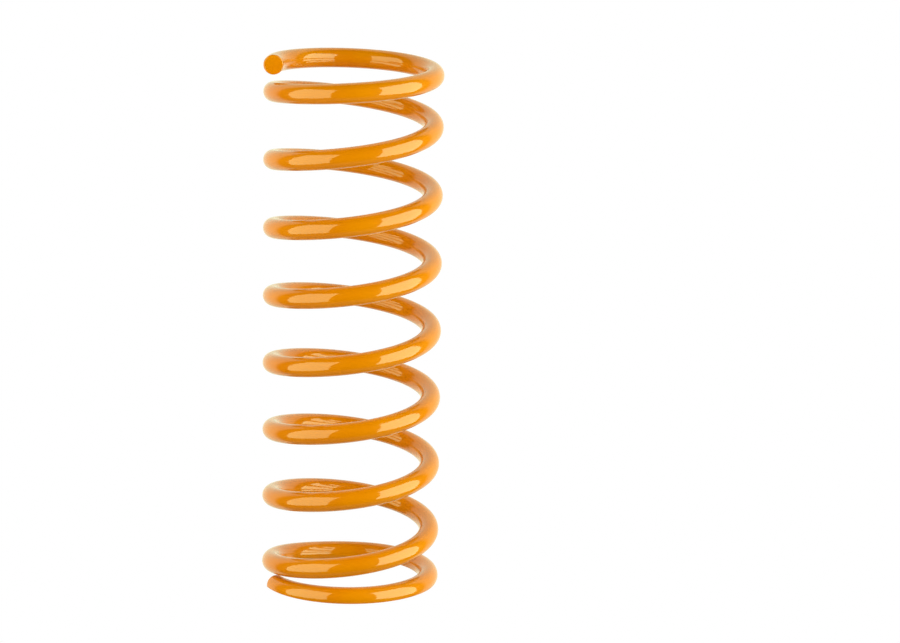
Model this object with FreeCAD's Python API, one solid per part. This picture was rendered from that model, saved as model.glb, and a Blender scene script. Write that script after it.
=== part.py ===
import FreeCAD, Part
import math
import os

# Helical compression spring for a vehicle's suspension, modelled as the one wound bar that it is.
# The bar is divided into lengths only so that its coils can close up: every cut is a thin gap in
# the upright plane through the spring's axis, so neighbouring lengths slide past each other freely.
# Axis +Z, wound right-handed, standing at Z = 0 on the flat ground under its lower end coil.
# Angles count from +X.

# Driving dimensions, mm and turns.
BAR_DIAMETER = 16.0
MEAN_COIL_DIAMETER = 128.0
ACTIVE_PITCH = 55.5            # rise per turn of the open coils

# Where the bar begins and ends, in turns from +X (0.5 is the spring's left side).
BOTTOM_TIP = -0.445
TOP_TIP = 8.505

# Each end coil lies nearly level, then the pitch opens smoothly to the active pitch. At the very
# bottom the bar's tip also dips, to stay clear of the coil above it.
BOTTOM_TIP_PITCH = 22.0
BOTTOM_DIP_TURNS = 0.22
BOTTOM_LEVEL_PITCH = 1.5
BOTTOM_LEVEL_TURNS = 0.64
BOTTOM_OPENING_TURNS = 0.22
TOP_TIP_PITCH = 14.5
TOP_LEVEL_TURNS = 0.48
TOP_OPENING_TURNS = 0.74

# The lower end coil is ground flat underneath. The cut is deepest at the bar's tip and runs out
# where the rising bar leaves the grinding plane.
GROUND_OFF = 6.9

# The open coils between the two end coils, divided into quarter turns. A coil is counted from
# the spring's left side, and the lower end coil takes the first quarter of coil 1.
COIL_START = 0.5
ACTIVE_START = 0.75
ACTIVE_END = 7.5
QUARTERS = ("front_left", "front_right", "back_right", "back_left")
CUT_GAP = 0.3                  # clear width of each cut, measured along the bar

# How finely the changing pitch of an end coil is followed.
PATH_STEPS_PER_TURN = 24
RISE_STEPS_PER_TURN = 960

bar_radius = BAR_DIAMETER / 2
coil_radius = MEAN_COIL_DIAMETER / 2
cut_turns = CUT_GAP / (math.pi * MEAN_COIL_DIAMETER)


def ease(share):
    """Smooth step from 0 to 1."""
    share = min(max(share, 0.0), 1.0)
    return share * share * (3 - 2 * share)


def pitch_at(turn):
    """Rise per turn of the bar's centre line at a place along the bar."""
    from_tip = turn - BOTTOM_TIP
    from_bottom = (from_tip - BOTTOM_LEVEL_TURNS) / BOTTOM_OPENING_TURNS
    from_top = (TOP_TIP - turn - TOP_LEVEL_TURNS) / TOP_OPENING_TURNS
    dip = (BOTTOM_TIP_PITCH - BOTTOM_LEVEL_PITCH) * ease(1 - from_tip / BOTTOM_DIP_TURNS)
    lower = BOTTOM_LEVEL_PITCH + dip + (ACTIVE_PITCH - BOTTOM_LEVEL_PITCH) * ease(from_bottom)
    upper = TOP_TIP_PITCH + (ACTIVE_PITCH - TOP_TIP_PITCH) * ease(from_top)
    return min(lower, upper)


def rise_between(start, end):
    """Rise of the centre line from one place along the bar to another."""
    steps = max(2, math.ceil((end - start) * RISE_STEPS_PER_TURN))
    width = (end - start) / steps
    return sum(pitch_at(start + (i + 0.5) * width) for i in range(steps)) * width


def height_at(turn):
    """Height of the centre line above the ground the spring stands on."""
    return bar_radius - GROUND_OFF + rise_between(BOTTOM_TIP, turn)


def point_at(turn):
    angle = math.tau * turn
    return FreeCAD.Vector(
        coil_radius * math.cos(angle),
        coil_radius * math.sin(angle),
        height_at(turn),
    )


def bar_length(start, end):
    """Solid length of bar from one place to another, cut in upright planes through the axis."""
    count = math.ceil((end - start) * PATH_STEPS_PER_TURN) + 1
    turns = [start + (end - start) * i / (count - 1) for i in range(count)]
    curve = Part.BSplineCurve()
    curve.interpolate([point_at(turn) for turn in turns])
    path = Part.Wire([curve.toShape()])

    # The cut face lies in the plane through the axis, where a round bar shows as an upright oval.
    angle = math.tau * start
    lead = math.atan(pitch_at(start) / (math.tau * coil_radius))
    tall = bar_radius / math.cos(lead)
    centre = point_at(start)
    outward = FreeCAD.Vector(math.cos(angle), math.sin(angle), 0)
    upward = FreeCAD.Vector(0, 0, 1)
    if tall - bar_radius < 1e-4:
        section = Part.Circle(centre, outward.cross(upward), bar_radius)
    else:
        section = Part.Ellipse(centre + upward * tall, centre + outward * bar_radius, centre)
    profile = Part.Wire([section.toShape()])

    sweep = Part.BRepOffsetAPI.MakePipeShell(path)
    sweep.setBiNormalMode(upward)
    sweep.add(profile, False, False)
    sweep.build()
    sweep.makeSolid()
    return sweep.shape()


def ground_flat(solid):
    """Takes away what reaches below Z = 0, the plane the spring stands on."""
    reach = MEAN_COIL_DIAMETER
    below = Part.makeBox(2 * reach, 2 * reach, reach, FreeCAD.Vector(-reach, -reach, -reach))
    return solid.cut(below).Solids[0]


def write(name, solid):
    solid.exportStep("parts/" + name + ".step")


os.makedirs("parts", exist_ok=True)

bottom_end = bar_length(BOTTOM_TIP, ACTIVE_START - cut_turns / 2)
write("bottom_end_coil", ground_flat(bottom_end))
for number in range(round((ACTIVE_END - ACTIVE_START) * 4)):
    start = ACTIVE_START + number / 4
    coil, quarter = divmod(round((start - COIL_START) * 4), 4)
    name = f"coil_{coil + 1}_{QUARTERS[quarter]}"
    write(name, bar_length(start + cut_turns / 2, start + 0.25 - cut_turns / 2))
write("top_end_coil", bar_length(ACTIVE_END + cut_turns / 2, TOP_TIP))
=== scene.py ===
import math

import bpy
import numpy as np
from mathutils import Matrix, Vector


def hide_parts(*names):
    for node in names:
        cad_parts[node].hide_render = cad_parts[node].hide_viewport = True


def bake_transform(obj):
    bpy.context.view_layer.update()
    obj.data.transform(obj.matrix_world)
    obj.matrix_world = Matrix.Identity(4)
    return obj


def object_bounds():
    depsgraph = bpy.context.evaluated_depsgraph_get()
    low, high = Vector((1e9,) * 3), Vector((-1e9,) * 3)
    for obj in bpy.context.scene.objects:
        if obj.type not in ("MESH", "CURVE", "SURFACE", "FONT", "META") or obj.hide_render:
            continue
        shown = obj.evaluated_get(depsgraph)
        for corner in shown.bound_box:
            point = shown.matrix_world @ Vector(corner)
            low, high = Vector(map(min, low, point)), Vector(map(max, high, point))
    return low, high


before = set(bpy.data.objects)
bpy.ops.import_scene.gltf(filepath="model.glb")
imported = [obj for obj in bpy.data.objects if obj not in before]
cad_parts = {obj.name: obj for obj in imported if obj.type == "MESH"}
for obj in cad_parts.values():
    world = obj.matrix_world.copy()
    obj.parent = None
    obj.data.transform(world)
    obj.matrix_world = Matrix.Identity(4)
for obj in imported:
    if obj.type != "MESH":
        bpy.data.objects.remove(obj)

cad_low, cad_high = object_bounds()


# ---- The winding line -------------------------------------------------------------------------
# The spring is wound on a mandrel: the steel bar is fed on at one end coil, laid nearly level for
# most of a turn, then led out at an even pitch, and laid nearly level again at the top.
# This curve is the bar's centre line, right-handed about +Z.

coil_radius = 0.064
bar_radius = 0.00799
ground_off = 0.0069              # taken off under the lower end coil, at the bar's tip
working_pitch = 0.0555           # rise per turn
bottom_tip = -0.445              # places along the bar, in turns from +X
first_working_turn = 0.75
last_working_turn = 7.5
top_tip = 8.505
bottom_tip_pitch = 0.022         # the very tip dips, clear of the next coil
bottom_dip = 0.22
bottom_pitch = 0.0015            # nearly level, then opening to the working pitch
bottom_level = 0.64
bottom_opening = 0.22
top_pitch = 0.0145
top_level = 0.48
top_opening = 0.74
line_points_per_turn = 400
lead_on = 0.05                   # turns of line beyond each end of the bar


def ease(share):
    """Smooth step from 0 to 1."""
    share = np.clip(share, 0.0, 1.0)
    return share * share * (3 - 2 * share)


def running_total(rate, places):
    """Adds up a rate along the line, starting from 0."""
    return np.concatenate([[0.0], np.cumsum((rate[1:] + rate[:-1]) / 2 * np.diff(places))])


line_turns = np.linspace(
    bottom_tip - lead_on,
    top_tip + lead_on,
    round((top_tip - bottom_tip + 2 * lead_on) * line_points_per_turn) + 1,
)
from_bottom = line_turns - bottom_tip
pitch = np.minimum(
    bottom_pitch
    + (bottom_tip_pitch - bottom_pitch) * ease(1 - from_bottom / bottom_dip)
    + (working_pitch - bottom_pitch) * ease((from_bottom - bottom_level) / bottom_opening),
    top_pitch
    + (working_pitch - top_pitch) * ease((top_tip - line_turns - top_level) / top_opening),
)
line_height = running_total(pitch, line_turns)
line_height -= np.interp(bottom_tip, line_turns, line_height)
line_height += cad_low.z + bar_radius - ground_off
line_places = np.stack(
    [
        coil_radius * np.cos(math.tau * line_turns),
        coil_radius * np.sin(math.tau * line_turns),
        line_height,
    ],
    axis=1,
)
bar_run = np.concatenate(
    [[0.0], np.cumsum(np.linalg.norm(np.diff(line_places, axis=0), axis=1))]
)

winding_curve = bpy.data.curves.new("winding_line", "CURVE")
winding_curve.dimensions = "3D"
winding_curve.twist_mode = "Z_UP"
turns_line = winding_curve.splines.new("POLY")
turns_line.points.add(len(line_places) - 1)
turns_line.points.foreach_set(
    "co", np.column_stack([line_places, np.ones(len(line_places))]).ravel()
)
winding_line = bpy.data.objects.new("winding_line", winding_curve)
bpy.context.scene.collection.objects.link(winding_line)


# ---- Powder coat ------------------------------------------------------------------------------
# The whole bar is shot-peened, sprayed with orange polyester powder and baked: a glossy film about
# 0.1 mm thick with a fine orange peel that runs with the bar, a little uneven in depth of colour.

powder_coat = bpy.data.materials.new("orange_powder_coat")
powder_coat.use_nodes = True
coat_nodes = powder_coat.node_tree.nodes
coat_links = powder_coat.node_tree.links
coat_nodes.clear()
coat_output = coat_nodes.new("ShaderNodeOutputMaterial")
coat = coat_nodes.new("ShaderNodeBsdfPrincipled")
coat_links.new(coat.outputs["BSDF"], coat_output.inputs["Surface"])
coat.inputs["IOR"].default_value = 1.5
coat.inputs["Specular IOR Level"].default_value = 0.05
coat.inputs["Coat Weight"].default_value = 1.0
coat.inputs["Coat IOR"].default_value = 1.5

along_bar = coat_nodes.new("ShaderNodeAttribute")
along_bar.attribute_name = "place_on_bar"


def mottle(name, scale, detail):
    """A fine pattern that lies along the straight bar, so it is wound with it."""
    noise = coat_nodes.new("ShaderNodeTexNoise")
    noise.name = noise.label = name
    noise.inputs["Scale"].default_value = scale
    noise.inputs["Detail"].default_value = detail
    coat_links.new(along_bar.outputs["Vector"], noise.inputs["Vector"])
    return noise


def ranged(name, source, low, high, to_low, to_high):
    """Turns the range low to high of a pattern into the range to_low to to_high."""
    limits = coat_nodes.new("ShaderNodeMapRange")
    limits.name = limits.label = name
    limits.inputs["From Min"].default_value = low
    limits.inputs["From Max"].default_value = high
    limits.inputs["To Min"].default_value = to_low
    limits.inputs["To Max"].default_value = to_high
    coat_links.new(source, limits.inputs["Value"])
    return limits.outputs["Result"]


film_depth = mottle("film_depth", scale=28.0, detail=3.0)
peel = mottle("orange_peel", scale=420.0, detail=2.0)
dust = mottle("fine_dust", scale=2400.0, detail=1.0)
scuffs = mottle("handling_scuffs", scale=90.0, detail=6.0)

deep_orange = (0.585, 0.152, 0.0, 1)
pale_orange = (0.625, 0.178, 0.0, 1)
film_colour = coat_nodes.new("ShaderNodeValToRGB")
deep, pale = film_colour.color_ramp.elements
deep.position = 0.32
deep.color = deep_orange
pale.position = 0.68
pale.color = pale_orange
coat_links.new(film_depth.outputs["Fac"], film_colour.inputs["Fac"])
coat_links.new(film_colour.outputs["Color"], coat.inputs["Base Color"])

film_roughness = ranged(
    "film_roughness", dust.outputs["Fac"], low=0.3, high=0.7, to_low=0.25, to_high=0.38
)
coat_links.new(film_roughness, coat.inputs["Roughness"])
gloss = coat_nodes.new("ShaderNodeMath")
gloss.operation = "ADD"
clean_gloss = ranged("gloss", dust.outputs["Fac"], low=0.3, high=0.7, to_low=0.03, to_high=0.06)
coat_links.new(clean_gloss, gloss.inputs[0])
scuffed = ranged("scuffed", scuffs.outputs["Fac"], low=0.62, high=0.74, to_low=0.0, to_high=0.1)
coat_links.new(scuffed, gloss.inputs[1])
coat_links.new(gloss.outputs["Value"], coat.inputs["Coat Roughness"])

peel_strength = 0.3
peel_height = 0.00004
peel_bump = coat_nodes.new("ShaderNodeBump")
peel_bump.inputs["Strength"].default_value = peel_strength
peel_bump.inputs["Distance"].default_value = peel_height
coat_links.new(peel.outputs["Fac"], peel_bump.inputs["Height"])
coat_links.new(peel_bump.outputs["Normal"], coat.inputs["Normal"])
coat_links.new(peel_bump.outputs["Normal"], coat.inputs["Coat Normal"])


# ---- Working coils ----------------------------------------------------------------------------
# The open coils between the two end coils carry the load. They are one unbroken bar; a quarter
# turn of it is modelled straight, copied along the bar's run, and each copy is wound on the line.

bar_sides = 48
quarter_turn = 0.25
rings_per_quarter = 100
bar_seam_angle = math.radians(40)


def straight_bar(name, length):
    """A plain straight round bar along +X, from X = 0."""
    bpy.ops.object.select_all(action="DESELECT")
    bpy.ops.mesh.primitive_cylinder_add(
        vertices=bar_sides,
        radius=bar_radius,
        depth=length,
        location=(length / 2, 0, 0),
        rotation=(0, math.pi / 2, 0),
    )
    bar = bpy.context.object
    bar.name = bar.data.name = name
    bpy.ops.object.transform_apply(location=True, rotation=True, scale=True)
    return bar


def long_edges(bar, longer_than):
    """Selects the edges that run along the bar and are longer than this."""
    bpy.ops.object.mode_set(mode="EDIT")
    bpy.ops.mesh.select_mode(type="EDGE")
    bpy.ops.mesh.select_all(action="DESELECT")
    bpy.ops.object.mode_set(mode="OBJECT")
    points = bar.data.vertices
    for edge in bar.data.edges:
        a, b = (points[i].co for i in edge.vertices)
        edge.select = abs(a.x - b.x) > longer_than
    bpy.ops.object.mode_set(mode="EDIT")


def wind(bar):
    """Records where each point is on the straight bar, then winds the bar on the line."""
    places = np.empty(len(bar.data.vertices) * 3)
    bar.data.vertices.foreach_get("co", places)
    bar.data.attributes.new("place_on_bar", "FLOAT_VECTOR", "POINT").data.foreach_set(
        "vector", places
    )
    bpy.ops.object.select_all(action="DESELECT")
    bpy.context.view_layer.objects.active = bar
    bar.select_set(True)
    winding = bar.modifiers.new("winding", "CURVE")
    winding.object = winding_line
    winding.deform_axis = "POS_X"
    bpy.ops.object.modifier_apply(modifier=winding.name)
    bpy.ops.object.shade_smooth_by_angle(angle=bar_seam_angle)
    bar.data.materials.append(powder_coat)


# Each place on the bar gets its share of the closing travel. The share stays nothing until just
# before the working coils, grows evenly along them, and is whole soon after.
closing_starts = 0.6
closing_starts_over = 0.2
closing_stops = 7.6
closing_stops_over = 0.3
closing_rate = np.minimum(
    ease((line_turns - closing_starts) / closing_starts_over),
    ease((closing_stops - line_turns) / closing_stops_over),
)
closing_share = running_total(closing_rate, line_turns)
closing_share /= closing_share[-1]


def close_with_spring(bar):
    """Bakes the bar's placing into its points and reads back where each point lay on the straight
    bar.
    """
    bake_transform(bar)
    places = np.empty(len(bar.data.vertices) * 3)
    bar.data.attributes["place_on_bar"].data.foreach_get("vector", places)


coils_count_from = 0.5           # the spring's left side
quarter_names = ("front_left", "front_right", "back_right", "back_left")
quarter_length = math.hypot(math.tau * coil_radius, working_pitch) * quarter_turn
quarter_bar = straight_bar("quarter_turn_of_bar", quarter_length)
long_edges(quarter_bar, quarter_length / 2)
bpy.ops.mesh.subdivide(number_cuts=rings_per_quarter - 1)
bpy.ops.object.mode_set(mode="OBJECT")

for number in range(round((last_working_turn - first_working_turn) / quarter_turn)):
    starts_at = first_working_turn + number * quarter_turn
    quarters_up = round((starts_at - coils_count_from) / quarter_turn)
    coil, quarter = divmod(quarters_up, len(quarter_names))
    node = f"coil_{coil + 1}_{quarter_names[quarter]}"
    run_start, run_end = np.interp([starts_at, starts_at + quarter_turn], line_turns, bar_run)
    piece = quarter_bar.copy()
    piece.data = quarter_bar.data.copy()
    piece.name = piece.data.name = f"bar_{node}"
    bpy.context.scene.collection.objects.link(piece)
    piece.data.transform(
        Matrix.Translation((run_start, 0, 0))
        @ Matrix.Diagonal(((run_end - run_start) / quarter_length, 1, 1, 1))
    )
    wind(piece)
    close_with_spring(piece)
    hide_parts(node)
bpy.data.objects.remove(quarter_bar)


# ---- Bottom end coil --------------------------------------------------------------------------
# The dead coil that stands in the lower seat. Its bar end is sheared square with the sharp edge
# knocked off, and its underside is ground flat for most of a turn before the spring is coated.

sheared_edge = 0.0011            # how wide the knocked-off edge is
edge_segments = 4
dish_depth = 0.00025
dish_step = 0.0015
dish_steps = 4
end_coil_blocks = 5
bottom_rings_per_block = 94
close_to = 1e-5
squarely = 0.9                   # how nearly a face looks along the bar
grinding_tolerance = 1e-6


def end_face(bar, at):
    """Selects the flat face that closes the bar at this place and opens it for editing."""
    bpy.ops.object.mode_set(mode="EDIT")
    bpy.ops.mesh.select_mode(type="FACE")
    bpy.ops.mesh.select_all(action="DESELECT")
    bpy.ops.object.mode_set(mode="OBJECT")
    for face in bar.data.polygons:
        face.select = abs(face.center.x - at) < close_to and abs(face.normal.x) > squarely
    bpy.ops.object.mode_set(mode="EDIT")


def shear_end(bar, at):
    """Rounds the rim of a bar end and dishes its face a little, as a shear leaves it."""
    inward = 1 if at < bar_radius else -1
    end_face(bar, at)
    bpy.ops.mesh.bevel(offset=sheared_edge, segments=edge_segments, affect="EDGES")
    end_face(bar, at)
    for step in range(dish_steps):
        bpy.ops.mesh.inset(thickness=dish_step)
        bpy.ops.transform.translate(value=(inward * dish_depth / dish_steps, 0, 0))
    bpy.ops.object.mode_set(mode="OBJECT")


def end_coil_bar(name, run_start, run_end, sheared_at, rings_per_block):
    """A straight bar with one sheared end. It is divided twice, to get enough rings for winding."""
    length = run_end - run_start
    bar = straight_bar(name, length)
    shear_end(bar, 0.0 if sheared_at == run_start else length)
    long_edges(bar, length / 2)
    bpy.ops.mesh.subdivide(number_cuts=end_coil_blocks - 1)
    long_edges(bar, length / end_coil_blocks / 2)
    bpy.ops.mesh.subdivide(number_cuts=rings_per_block)
    bpy.ops.object.mode_set(mode="OBJECT")
    bar.data.transform(Matrix.Translation((run_start, 0, 0)))
    return bar


bottom_tip_run, working_start_run, working_end_run, top_tip_run = np.interp(
    [bottom_tip, first_working_turn, last_working_turn, top_tip], line_turns, bar_run
)
bottom_coil = end_coil_bar(
    "bar_bottom_end_coil",
    bottom_tip_run,
    working_start_run,
    bottom_tip_run,
    bottom_rings_per_block,
)
wind(bottom_coil)

# Ground off at the plane the spring stands on, with no point left below it.
bpy.ops.object.mode_set(mode="EDIT")
bpy.ops.mesh.select_all(action="SELECT")
bpy.ops.mesh.bisect(
    plane_co=(0, 0, cad_low.z),
    plane_no=(0, 0, 1),
    use_fill=True,
    clear_inner=True,
    threshold=grinding_tolerance,
)
bpy.ops.object.mode_set(mode="OBJECT")
bpy.ops.object.shade_smooth_by_angle(angle=bar_seam_angle)
close_with_spring(bottom_coil)
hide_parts("bottom_end_coil")


# ---- Top end coil -----------------------------------------------------------------------------
# The last turn of the same steel bar: the dead coil that takes the upper seat. It is coated but not
# ground, and its sheared end faces the front, at the spring's left.

top_rings_per_block = 79
top_coil = end_coil_bar(
    "bar_top_end_coil",
    working_end_run,
    top_tip_run,
    top_tip_run,
    top_rings_per_block,
)
wind(top_coil)
close_with_spring(top_coil)
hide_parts("top_end_coil")

bpy.data.objects.remove(winding_line)


# ---- Floor and studio light -------------------------------------------------------------------
# The spring stands on a white light table that shows no shadow. A lit backdrop is behind it, a
# tall softbox on each side, and the rest of the studio is dark. The camera sees white all round.

floor_radius = 3.0
floor_sides = 96
bpy.ops.object.select_all(action="DESELECT")
bpy.ops.mesh.primitive_circle_add(vertices=floor_sides, radius=floor_radius, fill_type="NGON")
floor = bpy.context.object
floor.name = "light_table"
table_top = bpy.data.materials.new("lit_white_acrylic")
table_top.use_nodes = True
table_shader = table_top.node_tree.nodes["Principled BSDF"]
table_shader.inputs["Base Color"].default_value = (0, 0, 0, 1)
table_shader.inputs["Specular IOR Level"].default_value = 0.0
table_shader.inputs["Emission Color"].default_value = (1, 1, 1, 1)
table_shader.inputs["Emission Strength"].default_value = 1.0
floor.data.materials.append(table_top)
floor.visible_diffuse = False
floor.visible_glossy = False
floor.visible_shadow = False

backdrop_starts = 0.3            # how far a direction leans to the back
backdrop_full = 0.5
backdrop_light = 1.0
backdrop_tint = (1.0, 0.98, 0.7, 1)
table_glow_starts = -0.5         # how far a direction leans down
table_glow_full = -0.95
table_glow = 0.3
seen_white = (1, 1, 1, 1)
surroundings = bpy.data.worlds.new("studio_surroundings")
surroundings.use_nodes = True
bpy.context.scene.world = surroundings
sky_nodes = surroundings.node_tree.nodes
sky_links = surroundings.node_tree.links
sky_nodes.clear()
sky_output = sky_nodes.new("ShaderNodeOutputWorld")
sky_direction = sky_nodes.new("ShaderNodeTexCoord")
sky_parts = sky_nodes.new("ShaderNodeSeparateXYZ")
sky_links.new(sky_direction.outputs["Generated"], sky_parts.inputs["Vector"])


def glow(part, starts, full, brightness):
    """Light from the directions in which this part of the direction goes past a limit."""
    spread = sky_nodes.new("ShaderNodeMapRange")
    spread.interpolation_type = "SMOOTHSTEP"
    spread.inputs["From Min"].default_value = starts
    spread.inputs["From Max"].default_value = full
    spread.inputs["To Min"].default_value = 0.0
    spread.inputs["To Max"].default_value = brightness
    sky_links.new(sky_parts.outputs[part], spread.inputs["Value"])
    return spread.outputs["Result"]


backdrop = glow("Y", backdrop_starts, backdrop_full, backdrop_light)
lit_table = glow("Z", table_glow_starts, table_glow_full, table_glow)
sky_light = sky_nodes.new("ShaderNodeMath")
sky_light.operation = "MAXIMUM"
sky_links.new(backdrop, sky_light.inputs[0])
sky_links.new(lit_table, sky_light.inputs[1])
sky_seen = sky_nodes.new("ShaderNodeLightPath")
sky_strength = sky_nodes.new("ShaderNodeMath")
sky_strength.operation = "MAXIMUM"
sky_links.new(sky_light.outputs["Value"], sky_strength.inputs[0])
sky_links.new(sky_seen.outputs["Is Camera Ray"], sky_strength.inputs[1])
sky = sky_nodes.new("ShaderNodeBackground")
sky_colour = sky_nodes.new("ShaderNodeMix")
sky_colour.data_type = "RGBA"
sky_colour.inputs["A"].default_value = backdrop_tint
sky_colour.inputs["B"].default_value = seen_white
sky_links.new(sky_seen.outputs["Is Camera Ray"], sky_colour.inputs["Factor"])
sky_links.new(sky_colour.outputs["Result"], sky.inputs["Color"])
sky_links.new(sky_strength.outputs["Value"], sky.inputs["Strength"])
sky_links.new(sky.outputs["Background"], sky_output.inputs["Surface"])

spring_centre = (cad_low + cad_high) / 2
softbox_distance = 1.3
softbox_width = 1.50
softbox_height = 2.45
softbox_raised = 0.42            # its middle is this far above the spring's
for side, sign, bearing, radiance, tint in (
    ("left", -1, math.radians(59), 3.8, (0.88, 1.0, 0.5)),
    ("right", 1, math.radians(64), 5.4, (0.80, 1.0, 0.58)),
):
    panel = bpy.data.lights.new(f"softbox_{side}", "AREA")
    panel.shape = "RECTANGLE"
    panel.size = softbox_width
    panel.size_y = softbox_height
    panel.energy = radiance * math.pi * softbox_width * softbox_height
    panel.color = tint
    softbox = bpy.data.objects.new(f"softbox_{side}", panel)
    softbox.location = spring_centre + softbox_distance * Vector(
        (sign * math.sin(bearing), -math.cos(bearing), 0)
    )
    softbox.rotation_euler = (spring_centre - softbox.location).to_track_quat("-Z", "Y").to_euler()
    softbox.location.z += softbox_raised
    softbox.visible_camera = False
    bpy.context.scene.collection.objects.link(softbox)


# ---- Camera -----------------------------------------------------------------------------------
# A long lens nearly three metres away, looking down on the spring by about 13 degrees and turned
# a little to its right, so that the spring stands left of the middle.

camera_data = bpy.data.cameras.new("camera")
camera_data.sensor_width = 36.0
camera_data.lens = 141.0
camera_offset = Vector((0, -2.778, 0.6245))          # from the spring's middle
turned_right = 0.0278            # radians
turned_up = 0.0001
leaned = -0.0083
camera = bpy.data.objects.new("camera", camera_data)
bpy.context.scene.collection.objects.link(camera)
camera.location = spring_centre + camera_offset
look = (spring_centre - camera.location).to_track_quat("-Z", "Y").to_matrix().to_4x4()
turn = Matrix.Rotation(-turned_right, 4, "Y") @ Matrix.Rotation(turned_up, 4, "X")
camera.rotation_euler = (look @ turn @ Matrix.Rotation(-leaned, 4, "Z")).to_euler()
camera_data.clip_start = 0.1
camera_data.clip_end = 60.0
bpy.context.scene.camera = camera

bpy.context.scene.view_settings.view_transform = "Standard"
